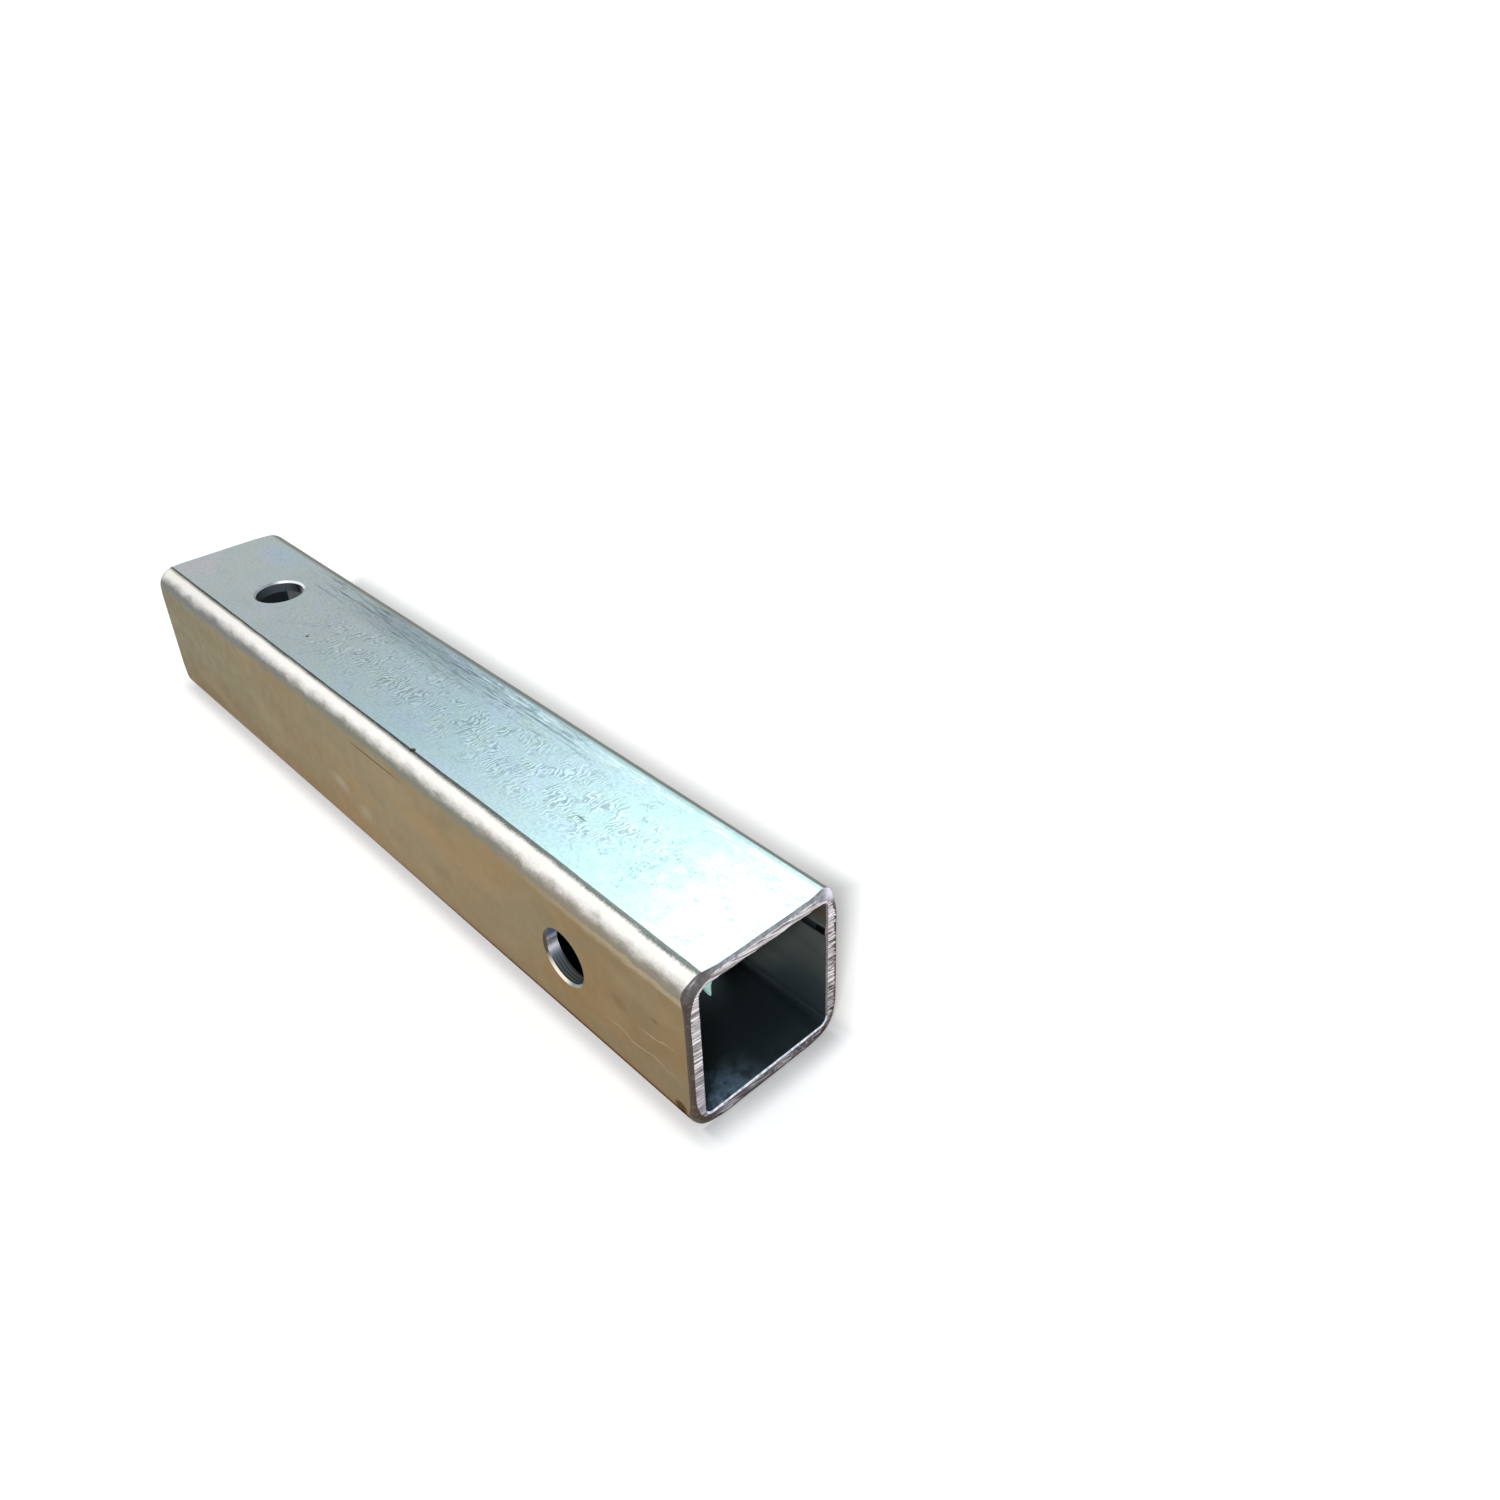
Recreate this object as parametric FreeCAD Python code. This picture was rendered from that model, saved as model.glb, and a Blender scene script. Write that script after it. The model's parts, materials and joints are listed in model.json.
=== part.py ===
import FreeCAD, Part

import math
import os

# A short length of square steel tube, drilled at both ends for locking pins.
# Millimetres. +X runs along the tube, +Z is up, and the tube lies on a flat.
# The origin is under the middle of the tube, on the surface that it lies on.

# The rolled section
length = 300.0
across_flats = 50.0
wall = 4.0
corner_radius = 6.2

# The welded seam, left inside the tube as a low bead near the top
bead_width = 3.2
bead_height = 0.8
bead_above_axis = 10.8

# The pin holes, one pair through top and bottom, one pair through the sides
upright_hole_diameter = 16.3
upright_hole_from_end = 50.0
cross_hole_diameter = 16.3
cross_hole_from_end = 50.0
hole_rim_bevel = 0.4

# The sawn ends, ground round the outside and broken round the inside
ground_back = 1.2
ground_in = 1.0
ground_extra_radius = 2.4
inner_edge_break = 0.3

# What follows from the sizes above
half_length = length / 2
axis_height = across_flats / 2
inner_width = across_flats - 2 * wall
inner_radius = max(corner_radius - wall, wall / 4)
ground_corner_radius = corner_radius + ground_extra_radius
upright_hole_x = upright_hole_from_end - half_length
cross_hole_x = half_length - cross_hole_from_end


def rounded_square(side, radius, x):
    """A square outline with round corners, across the tube's axis at x."""
    straight = side / 2 - radius
    edges = []
    last_end = None
    first_start = None
    for quarter in range(4):
        turn = math.radians(90 * quarter)
        across = FreeCAD.Vector(0, math.cos(turn), math.sin(turn))
        along = FreeCAD.Vector(0, -math.sin(turn), math.cos(turn))
        centre = FreeCAD.Vector(x, 0, axis_height) + (across + along) * straight
        start = centre + across * radius
        middle = centre + (across + along) * (radius / math.sqrt(2))
        end = centre + along * radius
        if last_end is None:
            first_start = start
        else:
            edges.append(Part.LineSegment(last_end, start).toShape())
        edges.append(Part.Arc(start, middle, end).toShape())
        last_end = end
    edges.append(Part.LineSegment(last_end, first_start).toShape())
    return Part.Wire(edges)


def prism(outline, run):
    """The solid that an outline sweeps when it moves along X."""
    return Part.Face(outline).extrude(FreeCAD.Vector(run, 0, 0))


def taper(side_a, radius_a, x_a, side_b, radius_b, x_b):
    """A solid that changes from one rounded square to another."""
    first = rounded_square(side_a, radius_a, x_a)
    second = rounded_square(side_b, radius_b, x_b)
    return Part.makeLoft([first, second], True, True)


def outer_form():
    """The outside of the tube, with the edge of each end ground away."""
    full_to = half_length - ground_back
    ground_side = across_flats - 2 * ground_in
    form = prism(rounded_square(across_flats, corner_radius, -full_to), 2 * full_to)
    for way in (-1, 1):
        edge = taper(
            across_flats, corner_radius, way * full_to,
            ground_side, ground_corner_radius, way * half_length,
        )
        form = form.fuse(edge)
    return form.removeSplitter()


def inner_form():
    """The hollow, a little wider at each mouth where the edge is broken."""
    form = prism(rounded_square(inner_width, inner_radius, -half_length), length)
    for way in (-1, 1):
        mouth = taper(
            inner_width + 2 * inner_edge_break, inner_radius + inner_edge_break,
            way * half_length,
            inner_width, inner_radius, way * (half_length - inner_edge_break),
        )
        form = form.fuse(mouth)
    return form


def seam_bead():
    """The weld bead along the inside of one side wall."""
    start_x = inner_edge_break - half_length
    face_y = inner_width / 2
    root_y = face_y + wall / 2
    height = axis_height + bead_above_axis
    low = FreeCAD.Vector(start_x, face_y, height - bead_width / 2)
    crown = FreeCAD.Vector(start_x, face_y - bead_height, height)
    high = FreeCAD.Vector(start_x, face_y, height + bead_width / 2)
    root_high = FreeCAD.Vector(start_x, root_y, high.z)
    root_low = FreeCAD.Vector(start_x, root_y, low.z)
    outline = Part.Wire([
        Part.Arc(low, crown, high).toShape(),
        Part.LineSegment(high, root_high).toShape(),
        Part.LineSegment(root_high, root_low).toShape(),
        Part.LineSegment(root_low, low).toShape(),
    ])
    return prism(outline, length - 2 * inner_edge_break)


def pin_hole(diameter, middle, direction):
    """A drill through both walls, with a small bevel at each outer rim."""
    reach = across_flats / 2
    radius = diameter / 2
    rim_radius = radius + hole_rim_bevel
    start = middle - direction * across_flats
    drill = Part.makeCylinder(radius, 2 * across_flats, start, direction)
    for way in (-1, 1):
        outward = direction * way
        inner_end = middle + outward * (reach - hole_rim_bevel)
        bevel = Part.makeCone(radius, rim_radius, hole_rim_bevel, inner_end, outward)
        drill = drill.fuse(bevel)
    return drill


def receiver_tube():
    """The finished tube, one solid."""
    tube = outer_form().cut(inner_form())
    tube = tube.fuse(seam_bead())
    upright_middle = FreeCAD.Vector(upright_hole_x, 0, axis_height)
    cross_middle = FreeCAD.Vector(cross_hole_x, 0, axis_height)
    tube = tube.cut(pin_hole(upright_hole_diameter, upright_middle, FreeCAD.Vector(0, 0, 1)))
    tube = tube.cut(pin_hole(cross_hole_diameter, cross_middle, FreeCAD.Vector(0, 1, 0)))
    return tube.removeSplitter()


def write_step(name, shape):
    """Check that the shape is one sound solid, and write it."""
    if len(shape.Solids) != 1 or not shape.isValid():
        raise RuntimeError(name + " is not one valid solid")
    shape.Solids[0].exportStep("parts/" + name + ".step")


os.makedirs("parts", exist_ok=True)
write_step("receiver_tube", receiver_tube())
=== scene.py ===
import json
import math

import bpy
from bpy.props import FloatProperty, FloatVectorProperty, PointerProperty
from mathutils import Euler, Matrix, Vector, noise


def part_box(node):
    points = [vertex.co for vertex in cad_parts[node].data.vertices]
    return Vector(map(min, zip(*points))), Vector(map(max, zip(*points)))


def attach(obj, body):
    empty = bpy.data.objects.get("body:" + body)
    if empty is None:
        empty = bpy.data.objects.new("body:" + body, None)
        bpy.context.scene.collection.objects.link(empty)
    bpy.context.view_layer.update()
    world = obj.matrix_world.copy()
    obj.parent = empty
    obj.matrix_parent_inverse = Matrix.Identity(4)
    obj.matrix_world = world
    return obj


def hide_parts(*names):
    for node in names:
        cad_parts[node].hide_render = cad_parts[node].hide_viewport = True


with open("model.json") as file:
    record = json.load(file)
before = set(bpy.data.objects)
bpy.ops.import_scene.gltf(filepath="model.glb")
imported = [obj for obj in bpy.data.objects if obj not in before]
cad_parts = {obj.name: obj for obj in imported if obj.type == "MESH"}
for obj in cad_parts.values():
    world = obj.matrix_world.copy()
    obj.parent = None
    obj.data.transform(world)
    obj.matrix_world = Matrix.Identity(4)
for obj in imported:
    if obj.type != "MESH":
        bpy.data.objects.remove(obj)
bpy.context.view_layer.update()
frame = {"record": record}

bl_info = {
    "name": "Receiver tube",
    "version": (1, 0, 0),
    "blender": (4, 5, 0),
    "location": "View3D > Sidebar > Receiver tube",
    "description": "Models a sawn, drilled and zinc plated square tube and its studio",
    "category": "Add Mesh",
}

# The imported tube, which the modelled one stands for
TUBE_NODE = "receiver_tube"
BODY = "root"
MM = 0.001

LOW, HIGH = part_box(TUBE_NODE)
LENGTH = HIGH.x - LOW.x
WIDTH = HIGH.y - LOW.y
HALF_LENGTH = LENGTH / 2
AXIS_HEIGHT = (LOW.z + HIGH.z) / 2
MOUNTS = {entry["name"]: entry for entry in frame["record"]["mounts"]}


def pin_bore(name):
    """Middle, axis and radius of a pin bore, in metres."""
    entry = MOUNTS[name]
    return Vector(entry["pos_m"]), Vector(entry["axis"]), entry["dims"]["r_mm"] * MM


PIN_BORES = [pin_bore("upright_pin_bore"), pin_bore("cross_pin_bore")]


# Sizes, colours and the camera, as a user would change them

def size(name, description, default):
    """A length that a user can change."""
    return FloatProperty(
        name=name, description=description, default=default, unit="LENGTH", precision=5,
    )


def colour(name, description, default):
    """A colour that a user can change."""
    return FloatVectorProperty(
        name=name, description=description, default=default, subtype="COLOR", min=0.0, max=1.0,
    )


def angle(name, description, degrees):
    """An angle that a user can change."""
    return FloatProperty(
        name=name, description=description, default=math.radians(degrees), unit="ROTATION",
    )


class TubeSizes(bpy.types.PropertyGroup):
    """What the frame doesn't say about the tube's form."""

    wall: size("Wall", "Thickness of the tube's wall", 4.0 * MM)
    corner_radius: size("Corner radius", "Outer radius of the rolled corners", 6.2 * MM)
    rim_bevel: size("Hole rim", "Bevel round the mouth of each pin hole", 0.65 * MM)
    edge_break: size("Inner edge", "Broken edge round the inside of each end", 0.4 * MM)
    ground_in: size("Ground depth", "How deep the ends' outer edge is ground", 0.85 * MM)
    top_in: size("Top depth", "Extra depth of the grinding along the top", 0.65 * MM)
    corner_in: size("Corner depth", "Extra depth of the grinding at each corner", 1.9 * MM)
    ground_back: size("Ground length", "How far along the tube the grinding reaches", 0.35 * MM)
    side_back: size("Side length", "Extra reach of the grinding on the side walls", 1.0 * MM)
    corner_back: size("Corner length", "Extra reach of the grinding at each corner", 1.1 * MM)
    uneven: size("Unevenness", "How much the hand grinding wanders", 0.25 * MM)
    saw_depth: size("Saw marks", "Depth of the saw's grooves across the end", 0.12 * MM)
    bead_width: size("Seam width", "Width of the weld bead inside the tube", 3.2 * MM)
    bead_height: size("Seam height", "How far the weld bead stands out", 0.8 * MM)
    bead_rise: size("Seam place", "Height of the weld bead above the tube's axis", 10.8 * MM)


class TubeFinish(bpy.types.PropertyGroup):
    """Colours of the plating and of the bare places, with painted highlights, reflections, light and shade
    among them.
    """

    # The gold of the sides is partly the plating's tint and partly a painted reflection of a warm floor
    gold_far: colour("Gold, far", "Side faces at the end with the upright holes", (0.215, 0.182, 0.11))
    gold: colour("Gold", "Side faces in the middle", (0.345, 0.248, 0.137))
    gold_near: colour("Gold, near", "Side faces at the end with the crosswise holes", (0.275, 0.188, 0.095))
    # Olive is the duller edge of the painted highlight on the rolled corners
    olive: colour("Olive", "Where the gold turns into the bright corner", (0.215, 0.213, 0.18))
    olive_far: colour("Olive, far", "The same at the far end", (0.20, 0.205, 0.21))
    # A painted dark reflection along the top's far corner
    dark_back_reflection: colour("Back line", "Dark band along the top's far corner", (0.17, 0.19, 0.19))
    # A painted highlight along the rolled corners
    strip: colour("Corner", "Bright rolled corners", (1.0, 0.98, 0.94))
    highlight_strip_far: colour("Corner, far", "The same at the far end", (0.92, 0.912, 0.87))
    # The corner lines are a painted dark reflection where a corner meets the flat
    groove: colour("Corner line", "Dark line where a corner meets the flat", (0.045, 0.06, 0.06))
    dark_reflection_near: colour("Corner line, near", "The same near the open end", (0.185, 0.215, 0.205))
    rust: colour("Rust", "Brown line along the bottom edges", (0.13, 0.045, 0.015))
    # The top's colours are its blue plating with a painted reflection, grey at the far end and near white
    # at the open end
    grey: colour("Grey", "Top face at the far end", (0.43, 0.50, 0.51))
    blue: colour("Blue", "Top face in the middle", (0.385, 0.53, 0.58))
    pale: colour("Pale", "Top face near the open end", (0.52, 0.78, 0.79))
    sawn: colour("Sawn", "The sawn face of each end", (0.66, 0.61, 0.62))
    # The inside colour is painted light on the +Y wall; the rest of the inside takes the floor's colour
    inside: colour("Inside", "The upper wall inside the tube", (0.19, 0.22, 0.20))
    inside_floor: colour("Inside, floor", "The lower wall inside the tube", (0.055, 0.080, 0.09))
    # The bore colour is a painted highlight on the drilled wall of the crosswise holes
    bore: colour("Bore", "The drilled wall of the pin holes", (0.95, 0.96, 1.0))
    drip: colour("Drip", "The drop of plating salt at the inner corner", (0.36, 0.68, 0.58))


class StudioSettings(bpy.types.PropertyGroup):
    """Where the camera stands, and the level of the lamps."""

    camera_x: size("Camera X", "Camera's place along the tube", 308.23 * MM)
    camera_y: size("Camera Y", "Camera's place across the tube", -147.93 * MM)
    camera_z: size("Camera Z", "Camera's height", 252.05 * MM)
    turn: angle("Turn", "Camera's turn about the upright", 46.452)
    tilt: angle("Tilt", "How far the camera looks down", 31.743)
    roll: angle("Roll", "How far the camera leans", -1.351)
    lens: FloatProperty(
        name="Lens", description="Focal length in millimetres", default=29.794, unit="CAMERA",
    )
    surround: FloatProperty(name="Surround", description="Light of the white surround", default=0.36)
    sun: FloatProperty(name="Sun", description="Light of the soft lamp beside the camera", default=1.5)
    sun_width: angle("Sun width", "How wide the soft lamp looks from the tube", 12)
    soft_box: FloatProperty(name="Soft box", description="Power of the soft box", default=0.75)


# Small helpers for modelling

def switch(mode):
    """Switch the active object to another mode."""
    bpy.ops.object.mode_set(mode=mode)


def start_clean():
    """Object mode, with nothing selected."""
    active = bpy.context.object
    if active is not None and active.mode != "OBJECT":
        switch("OBJECT")
    bpy.ops.object.select_all(action="DESELECT")


def take(piece):
    """Make one object the only selected one, and the active one."""
    start_clean()
    piece.select_set(True)
    bpy.context.view_layer.objects.active = piece


def named(name):
    """The object that was just added, under its own name."""
    piece = bpy.context.object
    piece.name = name
    piece.data.name = name
    return piece


def pick(piece, kind, wanted):
    """Leave only the wanted faces or edges selected, in edit mode."""
    switch("EDIT")
    bpy.context.tool_settings.mesh_select_mode = (False, kind == "edges", kind == "faces")
    bpy.ops.mesh.select_all(action="DESELECT")
    switch("OBJECT")
    parts = piece.data.edges if kind == "edges" else piece.data.polygons
    for part in parts:
        part.select = wanted(part)
    switch("EDIT")


def edge_ends(piece, edge):
    """The two end points of an edge."""
    first, second = edge.vertices
    return piece.data.vertices[first].co, piece.data.vertices[second].co


def apply_modifier(piece, kind, **settings):
    """Add a modifier, set it and apply it."""
    take(piece)
    modifier = piece.modifiers.new(kind.title(), kind)
    for key, value in settings.items():
        setattr(modifier, key, value)
    bpy.ops.object.modifier_apply(modifier=modifier.name)


def smooth_step(value, low, high):
    """0 below low, 1 above high, and smooth between."""
    share = min(max((value - low) / (high - low), 0.0), 1.0)
    return share * share * (3.0 - 2.0 * share)


# The tube

# How finely the section and the end are divided
STRAIGHT_CUTS = 159
CORNER_SEGMENTS = 32
GROUND_RINGS = 3
SAWN_RINGS = 8

# Where the walls are divided along the tube, in millimetres from an end
STATIONS = [3.2, 5.0, 10.0, 20.0, 38.0, 62.0, 100.0, 150.0]

# How close counts as the same place, and which points are merged
CLOSE = 0.01 * MM
MIRROR_MERGE = 0.02 * MM
DOUBLES_MERGE = 0.002 * MM

# The saw's lean, and how the hand's grinding wanders
SAW_TILT = math.radians(8.0)
DEPTH_PITCH = 11.0 * MM
LENGTH_PITCH = 7.0 * MM
ENDS_DIFFER = 7.3

# Where a corner starts and is full, as shares of the width
CORNER_FROM = 0.28
CORNER_FULL = 0.46

# The lumps of the weld bead
LUMPS_PER_METRE = 160.0
LUMP_SHARE = 0.2


def add_outline(sizes):
    """The outline of the section near one end, a square of edges with round corners."""
    start_clean()
    bpy.ops.mesh.primitive_plane_add(
        size=WIDTH,
        location=(HALF_LENGTH - sizes.ground_back, 0.0, AXIS_HEIGHT),
        rotation=(0.0, math.radians(90), 0.0),
    )
    piece = named("plated_tube")
    bpy.ops.object.transform_apply(location=True, rotation=True, scale=True)
    switch("EDIT")
    bpy.context.tool_settings.mesh_select_mode = (True, False, False)
    bpy.ops.mesh.select_all(action="SELECT")
    bpy.ops.mesh.bevel(
        offset=sizes.corner_radius, segments=CORNER_SEGMENTS, profile=0.5, affect="VERTICES",
    )
    bpy.ops.mesh.select_all(action="SELECT")
    bpy.ops.mesh.delete(type="ONLY_FACE")
    straight = WIDTH / 4

    def is_straight(edge):
        first, second = edge_ends(piece, edge)
        return (first - second).length > straight

    pick(piece, "edges", is_straight)
    bpy.ops.mesh.subdivide(number_cuts=STRAIGHT_CUTS)
    return piece


def extrude(x, y, z):
    """Extrude what is selected by a move in metres."""
    bpy.ops.mesh.extrude_region_move(TRANSFORM_OT_translate={"value": (x, y, z)})


def draw_along(moves):
    """Extrude what is selected along X, one step after another."""
    for move in moves:
        extrude(move, 0.0, 0.0)


def steps_from(start):
    """The steps from a place near the end to the middle of the tube, along -X."""
    places = [start] + [place * MM for place in STATIONS if place * MM > start]
    return [first - second for first, second in zip(places, places[1:])]


def cap_outline(piece, at_x):
    """Fill the outline at the open end, facing along +X."""
    pick(piece, "edges", lambda edge: all(end.x > at_x - CLOSE for end in edge_ends(piece, edge)))
    bpy.ops.mesh.edge_face_add()
    switch("OBJECT")
    cap = max(piece.data.polygons, key=lambda face: len(face.vertices))
    cap_index = cap.index
    turned = cap.normal.x < 0.0
    pick(piece, "faces", lambda face: face.index == cap_index)
    if turned:
        bpy.ops.mesh.flip_normals()


def sawn_width(sizes):
    """Width of the flat face between the ground edge and the broken inner edge."""
    return sizes.wall - sizes.ground_in - sizes.edge_break


def add_half(sizes):
    """Half of the tube: outer wall, ground edge, sawn face, broken inner edge and inner wall."""
    piece = add_outline(sizes)
    bpy.ops.mesh.select_all(action="SELECT")
    draw_along(steps_from(sizes.ground_back))
    cap_outline(piece, HALF_LENGTH - sizes.ground_back)
    quarter = math.pi / 2
    for ring in range(GROUND_RINGS):
        before = quarter * ring / GROUND_RINGS
        after = quarter * (ring + 1) / GROUND_RINGS
        bpy.ops.mesh.inset(
            thickness=sizes.ground_in * (math.cos(before) - math.cos(after)),
            depth=sizes.ground_back * (math.sin(after) - math.sin(before)),
        )
    for _ in range(SAWN_RINGS):
        bpy.ops.mesh.inset(thickness=sawn_width(sizes) / SAWN_RINGS, depth=0.0)
    bpy.ops.mesh.inset(thickness=sizes.edge_break, depth=-sizes.edge_break)
    draw_along(steps_from(sizes.edge_break))
    bpy.ops.mesh.delete(type="ONLY_FACE")
    switch("OBJECT")
    return piece


def close_tube(piece):
    """Mirror the half, join the halves and turn every face outwards."""
    apply_modifier(
        piece, "MIRROR", use_axis=(True, False, False), use_mirror_merge=True,
        merge_threshold=MIRROR_MERGE,
    )
    take(piece)
    switch("EDIT")
    bpy.ops.mesh.select_all(action="SELECT")
    bpy.ops.mesh.remove_doubles(threshold=DOUBLES_MERGE)
    bpy.ops.mesh.normals_make_consistent(inside=False)
    switch("OBJECT")


def past_diagonal(amount):
    """0 before the diagonal between two walls, and 1 a little past it."""
    return smooth_step(amount, -2.0 * MM, 6.0 * MM)


class SectionPlace:
    """A place of the section: its depth under the outline, and the way inwards."""

    def __init__(self, place, sizes):
        self.across = place.y
        self.up = place.z - AXIS_HEIGHT
        corner = WIDTH / 2 - sizes.corner_radius
        beyond = [max(abs(self.across) - corner, 0.0), max(abs(self.up) - corner, 0.0)]
        if min(beyond) > 0.0:
            self.depth = sizes.corner_radius - math.hypot(*beyond)
        else:
            self.depth = WIDTH / 2 - max(abs(self.across), abs(self.up))
            at_side = abs(self.across) > abs(self.up)
            beyond = [1.0, 0.0] if at_side else [0.0, 1.0]
        outwards = Vector((
            0.0, math.copysign(beyond[0], self.across), math.copysign(beyond[1], self.up),
        ))
        self.inwards = -outwards.normalized()
        nearer = min(abs(self.across), abs(self.up))
        self.at_corner = smooth_step(nearer, WIDTH * CORNER_FROM, WIDTH * CORNER_FULL)

    def wander(self, end, pitch):
        """An uneven amount from -1 to 1 that changes slowly round the section."""
        row = Vector((0.0, 0.0, ENDS_DIFFER * end))
        return noise.noise(Vector((self.across, self.up, 0.0)) / pitch + row)

    def ground_depth(self, sizes, end):
        """How deep the edge is ground here."""
        on_top = past_diagonal(self.up - abs(self.across))
        depth = sizes.ground_in + sizes.top_in * on_top + sizes.corner_in * self.at_corner
        return depth + sizes.uneven * self.wander(end, DEPTH_PITCH)

    def ground_length(self, sizes, end):
        """How far along the tube the grinding reaches here."""
        on_side = past_diagonal(abs(self.across) - abs(self.up))
        reach = sizes.side_back * on_side + sizes.corner_back * self.at_corner
        wander = 0.5 + 0.5 * self.wander(end, LENGTH_PITCH)
        return sizes.ground_back + reach + sizes.uneven * wander

    def groove(self, sizes, end):
        """How deep the saw's grooves are here: fine on one side, coarse on the other."""
        line = (self.up * math.cos(SAW_TILT) + end * self.across * math.sin(SAW_TILT)) / MM
        along = self.across / MM

        def scored(closeness, drift, row):
            """1 in a groove and 0 beside it; the grooves drift a little."""
            rough = noise.noise(Vector((line * closeness, along * drift, row + end)))
            return max(1.0 - 4.0 * abs(rough), 0.0)

        coarse = 1.0 + 1.8 * smooth_step(end * self.across, WIDTH * 0.3, WIDTH * 0.45)
        cut = scored(0.9, 0.03, 3.4) + 0.5 * scored(2.4, 0.05, 9.7)
        return sizes.saw_depth * coarse * cut


def grind_and_saw(piece, sizes):
    """Grind the ends' edges by hand, and mark the sawn faces with the saw."""
    for vertex in piece.data.vertices:
        place = vertex.co
        from_end = HALF_LENGTH - abs(place.x)
        spot = SectionPlace(place, sizes)
        on_sawn = spot.depth < sizes.wall - sizes.edge_break + CLOSE
        if from_end > sizes.ground_back + CLOSE or not on_sawn:
            continue
        end = math.copysign(1.0, place.x)
        ground = spot.ground_depth(sizes, end)
        if spot.depth < sizes.ground_in - CLOSE:
            share = spot.depth / sizes.ground_in
            place += spot.inwards * (ground * share - spot.depth)
            back = spot.ground_length(sizes, end) * from_end / sizes.ground_back
            place.x = end * (HALF_LENGTH - back)
            continue
        share = 1.0 - min((spot.depth - sizes.ground_in) / sawn_width(sizes), 1.0)
        place += spot.inwards * (ground - sizes.ground_in) * share
        groove = SectionPlace(place, sizes).groove(sizes, end)
        place.x -= end * groove
        # The grooves fray the outer and the inner border of the sawn face
        if share > 0.99:
            place += spot.inwards * groove
        elif share < 0.01:
            place -= spot.inwards * groove * 0.6


def raise_seam(piece, sizes):
    """Lift the weld bead out of the inside of the +Y wall."""
    face_y = WIDTH / 2 - sizes.wall
    for vertex in piece.data.vertices:
        place = vertex.co
        off = (place.z - AXIS_HEIGHT - sizes.bead_rise) / (sizes.bead_width / 2)
        if abs(off) >= 1.0 or abs(place.y - face_y) > 0.05 * MM:
            continue
        lump = 1.0 + LUMP_SHARE * noise.noise(Vector((place.x * LUMPS_PER_METRE, 0.0, 0.0)))
        lump *= smooth_step(HALF_LENGTH - abs(place.x), -2.0 * MM, 3.0 * MM)
        place.y -= sizes.bead_height * lump * math.sqrt(1.0 - off * off)


def drill(piece, sizes, bore):
    """Cut one pair of pin holes with a cutter that widens at both rims."""
    middle, direction, radius = bore
    reach = WIDTH / 2 - sizes.rim_bevel
    start_clean()
    turn = Vector((0.0, 0.0, 1.0)).rotation_difference(direction).to_euler()
    bpy.ops.mesh.primitive_cylinder_add(
        vertices=96, radius=radius, depth=2 * reach, location=(0.0, 0.0, 0.0),
    )
    cutter = named("pin_hole_cutter")
    for way in (-1.0, 1.0):
        pick(cutter, "faces", lambda face: face.normal.z * way > 0.9)
        widen = (radius + sizes.rim_bevel) / radius
        extrude(0.0, 0.0, way * sizes.rim_bevel)
        bpy.ops.transform.resize(value=(widen, widen, 1.0))
        extrude(0.0, 0.0, way * sizes.wall)
        switch("OBJECT")
    cutter.location = middle
    cutter.rotation_euler = turn
    take(cutter)
    bpy.ops.object.transform_apply(location=True, rotation=True)
    apply_modifier(piece, "BOOLEAN", object=cutter, operation="DIFFERENCE", solver="EXACT")
    bpy.data.objects.remove(cutter)


def bore_distance(place, bore):
    """How far a place is from a bore's axis."""
    middle, direction, _ = bore
    offset = place - middle
    return (offset - direction * offset.dot(direction)).length


def finish_of(face, sizes):
    """The name of the finish that a face of the tube has."""
    centre = face.center
    facing = face.normal
    for bore in PIN_BORES:
        _, direction, radius = bore
        along = abs(facing.dot(direction))
        # The bevel of a rim leans along the bore
        if bore_distance(centre, bore) < radius + sizes.rim_bevel and along < 0.95:
            return "hole_rim" if along > 0.3 else "bore_wall"
    spot = SectionPlace(centre, sizes)
    # What faces a little along the tube near an end belongs to the cut
    if HALF_LENGTH - abs(centre.x) < STATIONS[0] * MM and abs(facing.x) > 0.06:
        end = math.copysign(1.0, centre.x)
        if spot.depth < spot.ground_depth(sizes, end):
            return "ground_edge"
        if spot.depth < sizes.wall - sizes.edge_break:
            return "sawn_face"
        return "inner_edge"
    return "inside" if spot.depth > sizes.wall / 2 else "outside"


# Small helpers for the finishes

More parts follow.
